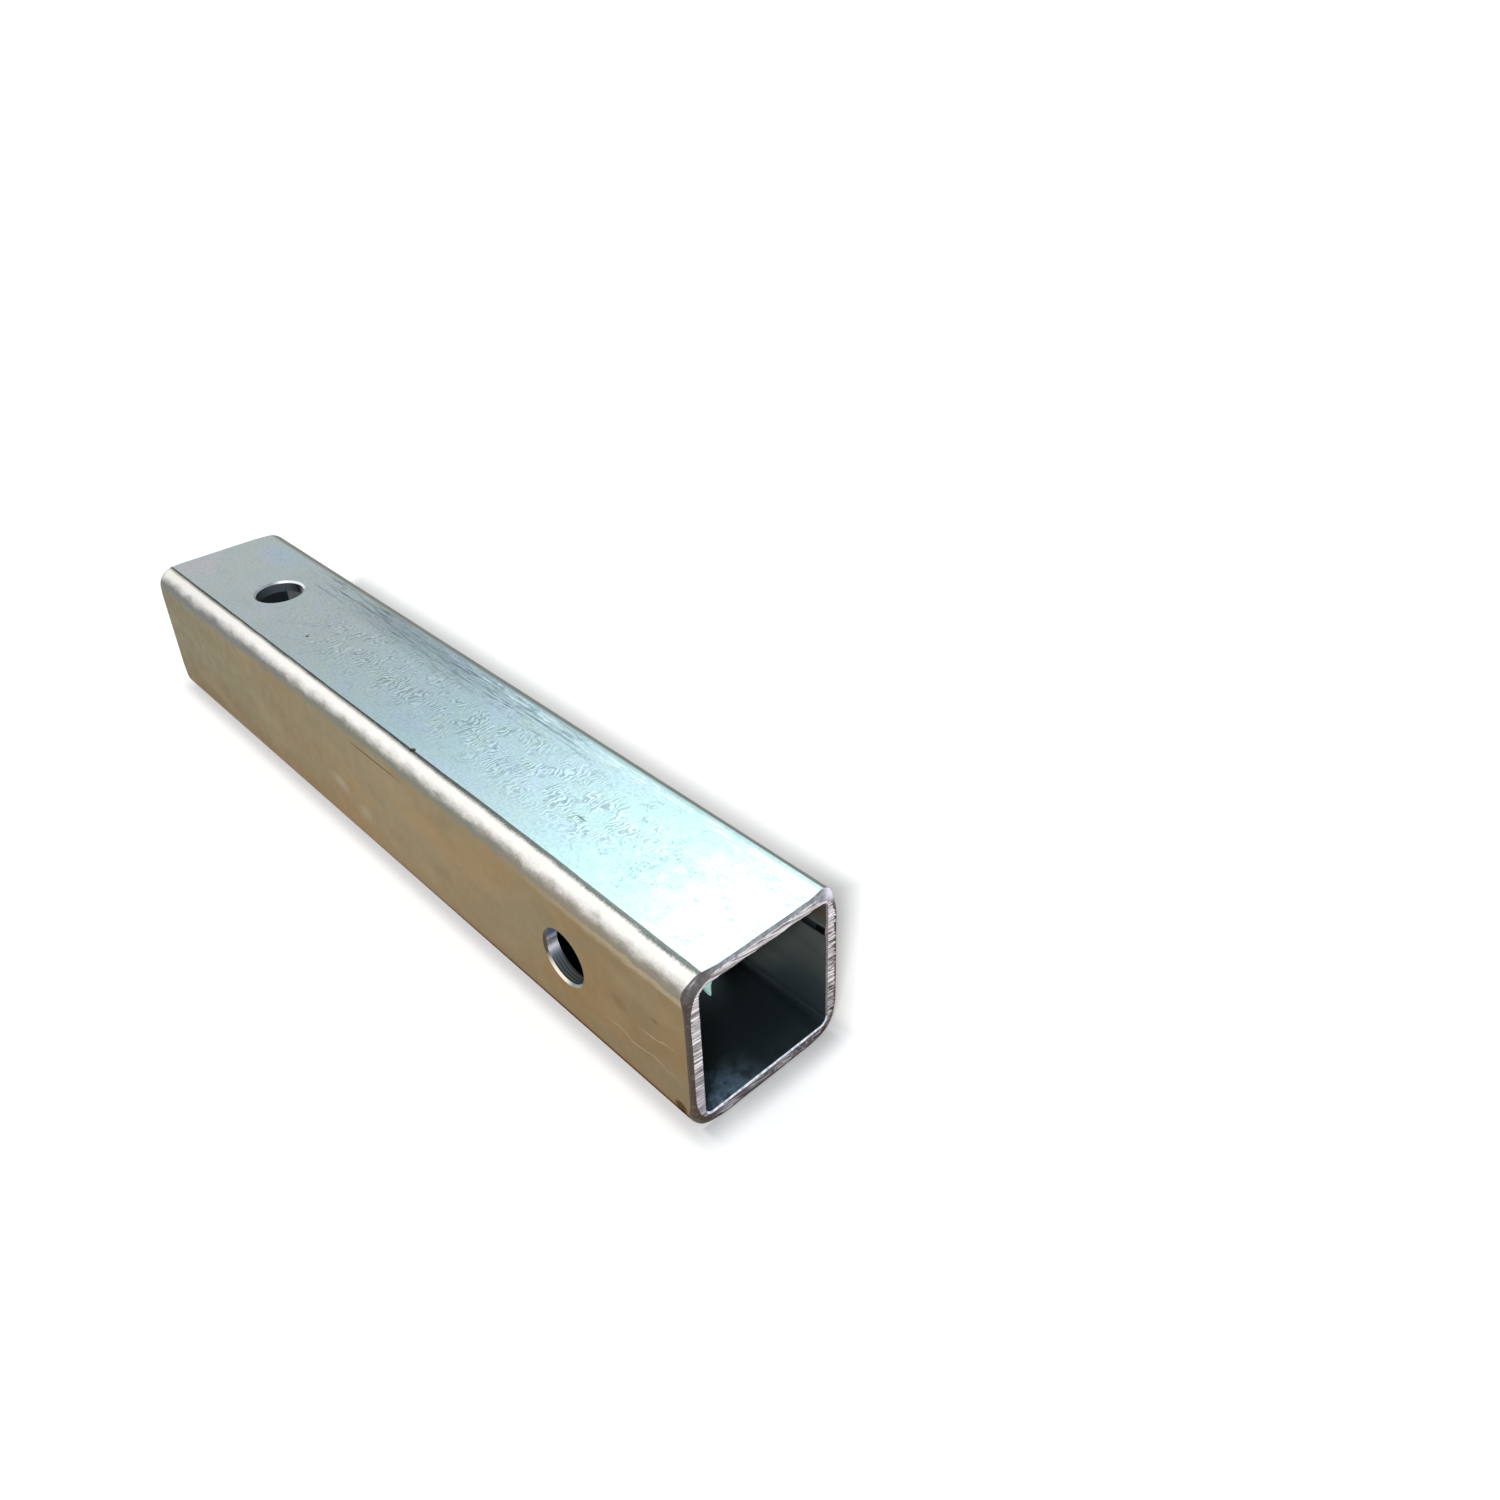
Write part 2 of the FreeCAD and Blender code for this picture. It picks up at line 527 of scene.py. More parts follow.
class Graph:
    """The nodes of a material or of the world, added and joined one by one.

    An input that is written (value, low, high) changes smoothly from 0 to 1 as the value goes
    from low to high, and (value, low, high, start, end) changes from start to end.
    """

    def __init__(self, name, is_world=False):
        self.owner = bpy.data.worlds.new(name) if is_world else bpy.data.materials.new(name)
        self.owner.use_nodes = True
        self.nodes = self.owner.node_tree.nodes
        self.nodes.clear()
        self.output = self.nodes.new("ShaderNodeOutput" + ("World" if is_world else "Material"))

    def feed(self, socket, value):
        """Join a socket to an output, or set it to a plain value."""
        if isinstance(value, tuple) and isinstance(value[0], bpy.types.NodeSocket):
            value = self.ease(*value)
        if isinstance(value, bpy.types.NodeSocket):
            self.owner.node_tree.links.new(value, socket)
        elif value is not None:
            if hasattr(value, "__len__") and len(value) == 3 and len(socket.default_value) == 4:
                value = (*value, 1.0)
            socket.default_value = value

    def node(self, kind, inputs, **settings):
        """Add a node with its settings and inputs, and give its outputs."""
        made = self.nodes.new("ShaderNode" + kind)
        for key, value in settings.items():
            setattr(made, key, value)
        for key, value in inputs.items():
            self.feed(made.inputs[key], value)
        return made.outputs

    def show(self, shader):
        """Join a shader to the output, and give the finished material or world."""
        self.feed(self.output.inputs["Surface"], shader)
        return self.owner

    def math(self, operation, first, second=None):
        """A sum of one or two values."""
        return self.node("Math", {0: first, 1: second}, operation=operation)[0]

    def chain(self, operation, values):
        """A sum that takes in one value after another."""
        total = values[0]
        for value in values[1:]:
            total = self.math(operation, total, value)
        return total

    def times(self, *values):
        """The product of several values."""
        return self.chain("MULTIPLY", values)

    def plus(self, *values):
        """Several values added up."""
        return self.chain("ADD", values)

    def less(self, first, second):
        """The first value less the second."""
        return self.math("SUBTRACT", first, second)

    def ease(self, value, low, high, start=0.0, end=1.0):
        """A smooth change from start to end as the value goes from low to high."""
        inputs = {"Value": value, "From Min": low, "From Max": high, "To Min": start, "To Max": end}
        return self.node("MapRange", inputs, interpolation_type="SMOOTHSTEP")["Result"]

    def mix(self, share, first, second, blend="MIX"):
        """A mix of two colours."""
        inputs = {0: share, 6: first, 7: second}
        return self.node("Mix", inputs, data_type="RGBA", blend_type=blend)[2]

    def ramp(self, value, stops):
        """A colour that changes with a value in millimetres, from stop to stop."""
        low, high = stops[0][0], stops[-1][0]
        share = self.node("MapRange", {"Value": value, "From Min": low, "From Max": high})["Result"]
        shades = self.node("ValToRGB", {0: share})
        bands = shades[0].node.color_ramp.elements
        while len(bands) < len(stops):
            bands.new(0.5)
        for band, (at, shade) in zip(bands, stops):
            band.position = (at - low) / (high - low)
            band.color = (*shade, 1.0)
        return shades[0]

    def noise(self, scale, detail=3.0, roughness=0.5, vector=None):
        """A cloudy value from 0 to 1, mostly near 0.5."""
        inputs = {"Scale": scale, "Detail": detail, "Roughness": roughness}
        return self.node("TexNoise", {"Vector": vector or self.place, **inputs})[0]

    def clouds(self, along, across, detail=3.0, roughness=0.5, offset=(0.0, 0.0, 0.0), vector=None):
        """The same with one scale along X and another across it."""
        stretched = self.stretch(vector or self.place, (along, across, across), offset)
        return self.noise(1.0, detail, roughness, stretched)

    def ridge(self, value, width):
        """1 where a noise crosses its middle, fading to 0 within a width."""
        return self.ease(self.math("ABSOLUTE", self.less(value, 0.5)), width, 0.0)

    def stretch(self, vector, scale, offset=(0.0, 0.0, 0.0)):
        """The same coordinates with another scale along each axis."""
        scaled = self.node("VectorMath", {0: vector, 1: scale}, operation="MULTIPLY")[0]
        return self.node("VectorMath", {0: scaled, 1: offset}, operation="ADD")[0]

    def length(self, vector):
        """How long a vector is."""
        return self.node("VectorMath", {0: vector}, operation="LENGTH")["Value"]

    def millimetres(self):
        """Measure places on the object in millimetres from here on, and give x, y and z."""
        self.place = self.stretch(self.node("TexCoord", {})["Object"], (1000.0, 1000.0, 1000.0))
        return self.node("SeparateXYZ", {0: self.place})

    def spot(self, centre, half_size, turn=(0.0, 0.0, 0.0), vector=None):
        """1 at a place on the object, fading to 0 at the edge of an oval."""
        inputs = {"Location": centre, "Rotation": turn, "Scale": half_size}
        inputs["Vector"] = vector or self.place
        made = self.node("Mapping", inputs, vector_type="TEXTURE")
        return self.ease(self.length(made[0]), 1.0, 0.0)

    def seen(self):
        """1 for the rays that find a white background."""
        path = self.node("LightPath", {})
        seen = self.math("MAXIMUM", path["Is Camera Ray"], path["Is Glossy Ray"])
        return self.math("MAXIMUM", seen, path["Is Transmission Ray"])

    def bump(self, height, distance, under=None):
        """A bumped normal, over another one where it is given."""
        return self.node("Bump", {"Height": height, "Distance": distance, "Normal": under})[0]

    def metal(self, base, roughness, normal, metallic=1.0, **sockets):
        """A finished material with the standard surface shader."""
        inputs = {"Base Color": base, "Roughness": roughness, "Metallic": metallic, "Normal": normal}
        inputs.update({key.replace("_", " "): value for key, value in sockets.items()})
        return self.show(self.node("BsdfPrincipled", inputs)[0])


# The finishes of the tube, with places in millimetres, as in the frame

# Faint tints on the top at the far end: place, half size and colour
FAR_TINTS = [
    ((-128.0, 14.0, 50.0), (22.0, 9.0, 4.0), (0.93, 1.0, 1.16)),
    ((-142.0, -10.0, 50.0), (16.0, 14.0, 4.0), (1.10, 1.0, 1.04)),
]

# Marks on the plating: place and half size, lean in degrees, colour and strength
MARKS = [
    ((-20.0, -25.0, 20.0), (8.0, 4.0, 3.5), 12.0, (0.43, 0.39, 0.32), 0.7),
    ((-6.0, -25.0, 15.0), (7.0, 4.0, 5.0), -20.0, (0.42, 0.38, 0.30), 0.6),
    ((8.0, -25.0, 42.4), (21.0, 1.5, 0.42), 0.0, (0.085, 0.055, 0.03), 2.6),
    ((130.5, -25.0, 16.2), (20.0, 1.5, 0.45), 1.3, (0.50, 0.41, 0.30), 0.8),
    ((137.5, -25.0, 24.1), (10.0, 1.5, 0.50), -8.7, (0.46, 0.38, 0.28), 0.8),
    ((137.0, -25.0, 30.5), (2.6, 1.5, 0.7), -6.0, (0.16, 0.10, 0.05), 1.0),
    ((115.0, -22.5, 47.2), (4.0, 1.6, 1.6), 8.0, (0.30, 0.30, 0.26), 1.4),
    ((123.0, -25.0, 26.0), (5.0, 3.0, 4.0), 0.0, (0.20, 0.135, 0.07), 0.8),
    ((145.0, -25.0, 6.7), (2.8, 3.0, 2.6), 0.0, (0.07, 0.032, 0.012), 2.6),
    ((-62.0, -8.4, 50.0), (0.8, 0.8, 0.8), 0.0, (0.05, 0.05, 0.05), 3.0),
    ((23.4, -18.8, 50.0), (1.4, 1.1, 1.0), 0.0, (0.03, 0.03, 0.03), 4.0),
    ((-111.0, -19.1, 50.0), (0.7, 0.6, 0.6), 0.0, (0.05, 0.05, 0.05), 3.0),
    ((84.0, -4.0, 50.0), (3.2, 0.5, 1.0), 0.0, (0.12, 0.16, 0.18), 1.6),
]


def past_tangent(g, across, height, sizes):
    """How far past the line where a corner meets the flat: above 0 on the flat, in millimetres."""
    radius = sizes.corner_radius / MM
    straight = WIDTH / MM / 2 - radius
    out = g.less(across, straight)
    turn = g.math("ARCTAN2", g.less(height, straight), out)
    on_corner = g.math("MINIMUM", g.times(g.less(turn, math.pi / 2), radius), 0.0)
    on_flat = g.math("MAXIMUM", g.less(0.0, out), 0.0)
    return g.plus(on_corner, g.times(on_flat, (height, 0.0, 1.0)))


def gold_side(g, x, z, finish):
    """The yellow plating of the side faces, partly a painted reflection, with painted shade towards the
    bottom and soft blotches.
    """
    gold = g.ramp(x, [(-135.0, finish.gold_far), (20.0, finish.gold), (125.0, finish.gold_near)])
    # Painted shade: darker and warmer towards the bottom
    gold = g.mix((z, 27.0, 6.0), gold, (0.96, 0.84, 0.70), "MULTIPLY")
    broad = g.clouds(0.02, 0.05, 1.0)
    gold = g.mix((broad, 0.38, 0.66, 0.0, 0.5), gold, (0.255, 0.23, 0.155))
    warm = g.clouds(0.035, 0.07, 2.0, offset=(9.0, 0.0, 0.0))
    gold = g.mix((warm, 0.5, 0.72, 0.0, 0.45), gold, (0.35, 0.265, 0.16))
    brown = g.clouds(0.05, 0.09, offset=(0.0, 0.0, 5.0))
    return g.mix((brown, 0.52, 0.72, 0.0, 0.4), gold, (0.22, 0.165, 0.10))


def corner_highlight(g, x, rise, ragged, speck, side, finish):
    """The side's colour as it turns olive, and then into the painted highlight, towards a rolled corner."""
    olive = g.mix((x, -110.0, 0.0), finish.olive_far, finish.olive)
    olive = g.mix((x, 50.0, 110.0), olive, (0.265, 0.235, 0.195))
    side = g.mix((ragged, (x, -130.0, -50.0, -12.0, -10.2), -7.4), side, olive)
    # A paler painted edge of the highlight near the open end
    light_edge = g.times((ragged, -11.5, -9.6), (ragged, -8.0, -9.2), (x, 60.0, 120.0))
    side = g.mix(g.times(light_edge, (x, 60.0, 150.0, 0.4, 0.9)), side, (0.43, 0.36, 0.25))
    strip = g.mix((x, -140.0, -40.0), finish.highlight_strip_far, finish.strip)
    pits = g.times((speck, 0.54, 0.70, 0.0, 0.6), (x, 60.0, -60.0), (rise, -2.5, -5.0))
    strip = g.mix(pits, strip, (0.40, 0.44, 0.47))
    return g.mix((ragged, -7.3, -3.1), side, strip)


def blue_top(g, x, y, finish):
    """The blue plating of the top with a painted reflection, grey at the far end and near white at the open
    end, rippled in the middle.
    """
    top = g.ramp(x, [
        (-135.0, finish.grey), (-60.0, (0.39, 0.47, 0.49)), (10.0, finish.blue),
        (60.0, (0.46, 0.645, 0.70)), (115.0, finish.pale), (140.0, (0.68, 0.93, 0.94)),
    ])
    patch = g.clouds(0.06, 0.14)
    top = g.mix((patch, 0.48, 0.66, 0.0, 0.6), top, (1.05, 0.99, 1.10), "MULTIPLY")
    tint = g.clouds(0.08, 0.12, offset=(3.0, 0.0, 0.0))
    top = g.mix((tint, 0.48, 0.66, 0.0, 0.5), top, (1.05, 1.02, 0.93), "MULTIPLY")
    for place, half_size, shade in FAR_TINTS:
        top = g.mix(g.spot(place, half_size), top, shade, "MULTIPLY")
    grain = g.clouds(0.8, 1.3, 3.0, 0.6)
    top = g.mix(1.0, top, (grain, 0.3, 0.7, 0.90, 1.07), "MULTIPLY")
    across = g.math("ABSOLUTE", y)
    area = g.times((across, 17.0, 4.0), (x, -100.0, -40.0), (x, 132.0, 95.0))
    clump = g.clouds(0.10, 0.16, 3.0, 0.6, (0.0, 4.0, 0.0))
    where = g.times(area, (clump, 0.40, 0.58))
    wave = g.node("TexWave", {
        "Vector": g.stretch(g.place, (1.05, 0.85, 0.85)), "Scale": 0.19,
        "Distortion": 22.0, "Detail": 2.5, "Detail Scale": 0.8, "Detail Roughness": 0.6,
    })[1]
    # Painted light and shade on the ripples
    top = g.mix(where, top, (wave, 0.1, 0.9, 0.70, 1.20), "MULTIPLY")
    # Painted shade along creases of the ripples, which the bump also dips
    crease_shade = g.ridge(g.clouds(0.17, 0.30, 4.0, 0.6, (6.0, 0.0, 0.0)), 0.014)
    broken = g.ease(g.clouds(0.12, 0.2, 2.0, offset=(0.0, 0.0, 8.0)), 0.47, 0.60)
    crease_shade = g.times(crease_shade, broken, (across, 19.0, 14.0))
    top = g.mix(g.times(crease_shade, 0.55), top, (0.52, 0.56, 0.58), "MULTIPLY")
    return top, g.less(g.times(wave, where), crease_shade)


def back_flecks(g, x, y, rise, top):
    """Dark and pale flecks along the top's back edge, drawn out along the tube."""
    band = g.times((y, 7.0, 15.0), (rise, -1.6, -0.4), (x, -115.0, -80.0))
    deep = g.times(band, (x, -80.0, -50.0), (x, 30.0, -20.0))
    top = g.mix(deep, top, (0.80, 0.80, 0.84), "MULTIPLY")
    fleck = g.clouds(0.12, 1.1, 5.0, 0.7)
    dark = g.times((fleck, 0.50, 0.60, 0.0, 0.8), band, (x, 60.0, 20.0))
    top = g.mix(dark, top, (0.19, 0.26, 0.30))
    light = g.times((fleck, 0.50, 0.38, 0.0, 0.7), (y, 14.0, 18.0), (x, -30.0, 30.0))
    pale = g.mix((x, 40.0, 110.0), (0.70, 0.85, 0.89), (0.95, 1.0, 1.0))
    top = g.mix(g.times(light, band), top, pale)
    thread = g.ridge(g.clouds(0.012, 0.45, 2.0, offset=(0.0, 2.0, 0.0)), 0.035)
    thread = g.times(thread, band, (fleck, 0.35, 0.50), (x, 80.0, 35.0))
    return g.mix(g.times(thread, 0.8), top, (0.10, 0.15, 0.18)), g.times(fleck, band)


def front_corner(g, x, rise, speck, blotch, streak, side, top, finish):
    """Side and top at the front corner, with a painted dark reflection between them as a line that widens
    towards the open end.
    """
    line_at = g.ease(x, 80.0, 150.0, -0.1, -0.85)
    half_line = g.ease(x, -20.0, 140.0, 0.12, 0.45)
    past_line = g.plus(g.less(rise, line_at), (streak, 0.3, 0.7, -0.1, 0.1))
    upper = g.ease(g.less(past_line, half_line), 0.14, -0.02)
    fade_from = g.ease(x, 60.0, 130.0, -1.7, -1.0)
    mottle = g.times(g.less(g.plus(speck, blotch), 1.0), (x, 20.0, 90.0, 0.5, 1.1))
    lower = g.ease(g.plus(past_line, half_line, mottle), fade_from, 0.0)
    front = g.mix((past_line, 0.0, 0.1), side, top)
    # The colour of the painted dark reflection
    line = g.mix((x, 0.0, 130.0), finish.groove, finish.dark_reflection_near)
    return g.mix(g.times(upper, lower, (speck, 0.25, 0.5, 0.8, 1.0)), front, line)


def back_corner(g, x, rise, ragged, side, top, finish):
    """Side and top at the back corner, with a painted dark reflection as a band between them."""
    shade_from = g.plus((x, 10.0, 70.0, -0.5, -1.3), (x, 80.0, 120.0, 0.0, -0.6))
    back = g.mix((rise, shade_from, -2.7), top, finish.dark_back_reflection)
    return g.mix((ragged, -4.8, -6.0), back, side)


def add_marks(g, x, speck, colours):
    """The scratches, stains and specks; near the open end the scratches waver."""
    waver = g.times((g.noise(0.12), 0.3, 0.7, -0.9, 0.9), (x, 70.0, 110.0))
    wavering = g.node("VectorMath", {0: g.place, 1: g.node("CombineXYZ", {2: waver})[0]})[0]
    for place, half_size, lean, shade, strength in MARKS:
        mark = g.spot(place, half_size, (0.0, math.radians(lean), 0.0), wavering)
        mark = g.times(mark, (speck, 0.35, 0.55, 0.5, 1.0), strength)
        colours = g.mix(g.math("MINIMUM", mark, 0.95), colours, shade)
    return colours


def plated_outside(sizes, finish):
    """Zinc plate: gold sides and a rippled blue top, both partly painted reflection, painted highlights on
    the corners beside painted dark reflections, and rust along the bottom.
    """
    g = Graph("zinc_plate_outside")
    x, y, z = g.millimetres()
    across = g.math("ABSOLUTE", y)
    axis = AXIS_HEIGHT / MM
    rise = past_tangent(g, across, g.less(z, axis), sizes)
    fall = past_tangent(g, across, g.less(axis, z), sizes)
    speck = g.noise(1.9, 3.0, 0.6)
    streak = g.clouds(0.06, 0.8, 3.0, 0.6)
    blotch = g.clouds(0.16, 0.35, 4.0, 0.6)
    wobble = g.plus(g.times(speck, 1.7), g.times(blotch, 3.4), (x, 60.0, 145.0, 0.0, 0.7))
    ragged = g.plus(rise, g.less(wobble, 2.55))

    side = gold_side(g, x, z, finish)
    side = corner_highlight(g, x, rise, ragged, speck, side, finish)
    top, ripples = blue_top(g, x, y, finish)
    top, flecks = back_flecks(g, x, y, rise, top)
    front = front_corner(g, x, rise, speck, blotch, streak, side, top, finish)
    back = back_corner(g, x, rise, ragged, side, top, finish)
    colours = g.mix((y, -1.0, 1.0), front, back)

    low_edge = g.plus(fall, (x, -60.0, 90.0, -0.9, 0.6))
    colours = g.mix((low_edge, -10.5, -8.6, 0.0, 0.5), colours, (0.30, 0.15, 0.06))
    colours = g.mix((low_edge, -8.4, -6.8), colours, finish.rust)
    underside = g.mix((streak, 0.35, 0.7), finish.grey, (0.33, 0.34, 0.31))
    colours = g.mix((fall, -3.0, -0.3), colours, underside)
    colours = add_marks(g, x, speck, colours)

    normal = g.bump(ripples, 0.03 * MM)
    normal = g.bump(g.clouds(0.4, 0.6, 2.0), 0.05 * MM, normal)
    normal = g.bump(flecks, 0.12 * MM, normal)
    rough = g.ease(g.noise(0.2, 2.0), 0.3, 0.7, 0.32, 0.42)
    edge_tint = g.mix((low_edge, -9.0, -7.5), (0.7, 0.68, 0.62), (0.12, 0.07, 0.04))
    return g.metal(colours, rough, normal, Specular_Tint=edge_tint)


def sawn_face(sizes, finish):
    """The saw's cut: bright pinkish steel, scored by slanted grooves."""
    g = Graph("sawn_steel")
    x, y, z = g.millimetres()
    side = g.times(g.math("SIGN", x), y)
    line = g.plus(g.times(z, math.cos(SAW_TILT)), g.times(side, math.sin(SAW_TILT)))
    place = g.node("CombineXYZ", {0: line, 1: side})[0]
    wide = g.clouds(0.9, 0.04, 2.0, vector=place)
    fine = g.clouds(3.4, 0.10, 1.0, 0.5, (0.0, 0.0, 4.0), place)
    coarse = g.ease(side, 12.0, 20.0, 0.85, 1.0)
    base = g.mix((g.noise(0.4, 2.0), 0.45, 0.7, 0.0, 0.5), finish.sawn, (0.50, 0.43, 0.45))

    # Painted shade makes the bottom dark, with a paler patch near one corner and a line of pale dots
    base = g.mix((z, 6.0, 3.6), base, (0.10, 0.075, 0.11))
    base = g.mix(g.spot((150.0, -15.0, 1.0), (4.0, 6.0, 2.6)), base, (0.60, 0.58, 0.72))
    dots = g.clouds(1.0, 1.3, 2.0, offset=(5.0, 0.0, 0.0))
    dotted = g.times((z, 3.4, 2.6), (z, 0.9, 1.4), (y, -4.0, 6.0))
    dotted = g.times(dotted, (dots, 0.54, 0.62))
    base = g.mix(g.times(dotted, 0.7), base, (0.70, 0.70, 0.78))

    # Painted highlights on the saw's ridges and painted shade in its grooves
    base = g.mix(g.times((fine, 0.54, 0.62), coarse), base, (1.0, 0.98, 1.0))
    base = g.mix(g.times(g.ridge(wide, 0.045), coarse), base, (0.07, 0.05, 0.055))
    base = g.mix(g.times((fine, 0.46, 0.36), coarse, 0.85), base, (0.12, 0.10, 0.105))

    # Both upright walls darken downwards at their outer edge
    for way, shade in ((1.0, (0.55, 0.55, 0.58)), (-1.0, (0.72, 0.72, 0.80))):
        outer = g.times((side, 18.0 * way, 22.0 * way), (z, 24.0, 9.0))
        base = g.mix(outer, base, shade, "MULTIPLY")
    normal = g.bump(wide, 0.10 * MM)
    normal = g.bump(fine, 0.12 * MM, normal)
    return g.metal(base, 0.34, normal, 0.9)


def ground_edge(sizes, finish):
    """The ground edge: grey along the top and dark brown on the side walls, a painted reflection, with
    painted highlights.
    """
    g = Graph("ground_steel")
    _, y, z = g.millimetres()
    marks = g.clouds(0.8, 0.8, 4.0, 0.65)
    brown = g.mix((z, 5.0, 35.0), (0.075, 0.045, 0.028), (0.070, 0.055, 0.045))
    low = g.mix((marks, 0.5, 0.75), brown, (0.14, 0.115, 0.10))
    high = g.mix((marks, 0.35, 0.7), (0.20, 0.215, 0.24), (0.36, 0.37, 0.40))
    base = g.mix((z, 42.0, 48.5), low, high)
    base = g.mix((y, -12.0, -20.0, 0.0, 0.7), base, low)
    # A painted highlight along the inner border of the top's ground edge
    edge_highlight = g.times(
        (z, 48.95, 48.6), (z, 48.0, 48.3), (marks, 0.4, 0.5),
        (g.math("ABSOLUTE", y), 18.0, 15.0),
    )
    base = g.mix(edge_highlight, base, (0.75, 0.74, 0.80))
    # A painted highlight at the top's far corner near the open end
    base = g.mix(g.spot((150.0, 23.0, 48.5), (4.0, 4.0, 4.5)), base, (0.88, 0.82, 0.95))
    return g.metal(base, 0.33, g.bump(marks, 0.06 * MM))


def inner_edge(sizes, finish):
    """The broken inner edge, with a painted highlight along the bottom."""
    g = Graph("broken_inner_edge")
    z = g.millimetres()[2]
    marks = g.noise(0.8, 3.0)
    bright = g.mix((marks, 0.35, 0.65), (0.48, 0.52, 0.62), (0.90, 0.94, 1.0))
    base = g.mix((z, 7.0, 5.0), (0.20, 0.17, 0.17), bright)
    return g.metal(base, 0.25, g.bump(marks, 0.05 * MM))


def hole_rim(sizes, finish):
    """The bevel round a pin hole, with painted light and shade: brown above and a cream highlight below on
    the sides, grey and a white highlight on the top.
    """
    g = Graph("hole_rim")
    x, y, z = g.millimetres()
    # Painted shade above and a painted highlight below on the sides; a painted highlight on the top's far
    # side
    on_side = g.mix((z, 22.5, 16.8), (0.085, 0.07, 0.048), (0.95, 0.86, 0.74))
    on_side = g.mix((x, 99.0, 103.0), on_side, (0.24, 0.30, 0.30))
    on_top = g.mix((y, 0.5, 5.0), (0.26, 0.31, 0.33), (0.85, 0.88, 0.90))
    base = g.mix((z, 38.0, 46.0), on_side, on_top)
    return g.metal(base, 0.28, g.bump(g.noise(1.2, 2.0), 0.05 * MM))


def bore_wall(sizes, finish):
    """Bright drilled steel with fine rings, as a painted highlight band with painted reflections: bluer
    above and darker below in the crosswise holes.
    """
    g = Graph("drilled_steel")
    x, y, z = g.millimetres()
    upright = g.ease(x, 1.0, -1.0)
    depth = g.plus(g.times(z, upright), g.times(y, g.less(1.0, upright)))
    rings = g.noise(2.6, 2.0, vector=g.node("CombineXYZ", {0: depth})[0])
    mottle = g.noise(0.4, 2.0)
    bright = g.mix((mottle, 0.45, 0.75, 0.0, 0.5), finish.bore, (0.50, 0.54, 0.68))
    # Painted reflections round the highlight band: bluer above, darker below, with dark rings at the bottom
    crosswise = g.mix((z, 24.6, 27.5), bright, (0.19, 0.25, 0.40))
    crosswise = g.mix((z, 28.5, 31.5), crosswise, (0.13, 0.13, 0.26))
    crosswise = g.mix((z, 23.5, 20.0), crosswise, (0.16, 0.19, 0.25))
    crosswise = g.mix((z, 20.0, 17.5), crosswise, (0.14, 0.165, 0.155))
    turned = g.ease(g.math("SINE", g.times(depth, 7.0)), -0.2, 0.9)
    turned = g.times(turned, (z, 21.5, 18.0), 0.9)
    crosswise = g.mix(turned, crosswise, (0.03, 0.035, 0.04))
    # In the upright holes a painted reflection, bluish grey on the wall's side towards the far end and dark
    # elsewhere
    deep = g.mix((x, -101.0, -107.0), (0.05, 0.06, 0.065), (0.30, 0.38, 0.43))
    base = g.mix(upright, crosswise, deep)
    shine = g.times((z, 21.0, 22.3), (z, 26.0, 24.8))
    metallic = g.math("MAXIMUM", (upright, 0.0, 1.0, 0.1, 0.7), g.times(shine, 0.85))
    rings = g.times(rings, (upright, 0.0, 1.0, 1.0, 0.3))
    return g.metal(base, 0.28, g.bump(rings, 0.14 * MM), metallic)


def inside_wall(sizes, finish):
    """The inside, where the plating is thin: a dark floor, a blue crust and greenish walls with painted
    light on the +Y wall and painted shade deeper in.
    """
    g = Graph("dull_inside")
    x, y, z = g.millimetres()
    smooth = g.clouds(0.03, 0.15, 2.0)
    wall = g.ease(y, 20.4, 20.8)
    # Painted light on the upper +Y wall; near the mouth it starts higher and is weaker
    lit_from = g.ease(x, 118.0, 146.0, 3.5, 9.0)
    lit_to = g.ease(x, 118.0, 146.0, 7.0, 34.0)
    base = g.mix(g.times(wall, (z, lit_from, lit_to)), finish.inside_floor, finish.inside)
    base = g.mix(g.times(wall, (x, 142.0, 118.0, 0.0, 0.6)), base, (1.6, 1.6, 1.6), "MULTIPLY")
    base = g.mix((smooth, 0.4, 0.7, 0.0, 0.3), base, (0.08, 0.095, 0.10))
    # Painted shade where the floor meets the +Y wall
    corner = g.times((y, 18.0, 19.5), (z, 8.0, 6.0))
    base = g.mix(g.times(corner, 0.4), base, (0.02, 0.025, 0.03))
    rusty = g.spot((144.0, 21.0, 41.5), (16.0, 4.0, 4.5))
    base = g.mix(g.times(rusty, 0.9), base, (0.17, 0.115, 0.08))
    # A painted shadow along the weld bead
    bead_shadow = g.times((z, 34.0, 34.6), (z, 36.0, 35.2), (y, 18.0, 19.5))
    base = g.mix(g.times(bead_shadow, 0.7), base, (0.03, 0.025, 0.025))
    crust = g.noise(0.20, 5.0, 0.62)
    near_mouth = g.times((x, 137.0, 150.0), (z, 7.0, 5.0), (y, 2.0, -15.0, 0.05, 1.0))
    base = g.mix(g.times(near_mouth, (crust, 0.40, 0.60, 0.25, 1.0)), base, (0.46, 0.72, 1.0))
    # Painted shade deep inside, towards the far end
    base = g.mix((x, -70.0, -110.0), base, (0.03, 0.035, 0.04))
    normal = g.bump(g.times(crust, near_mouth), 0.4 * MM)
    metallic = g.less(0.85, g.times(wall, 0.4))
    return g.metal(base, 0.42, normal, metallic, Specular_Tint=(0.4, 0.42, 0.42))


def drip_finish(finish):
    """Pale green, dull salt of the plating bath."""
    g = Graph("plating_salt")
    g.millimetres()
    grain = g.noise(1.6, 3.0)
    base = g.mix((grain, 0.35, 0.65), finish.drip, (0.50, 0.80, 0.70))
    return g.metal(base, 0.45, g.bump(grain, 0.08 * MM), 0.0)


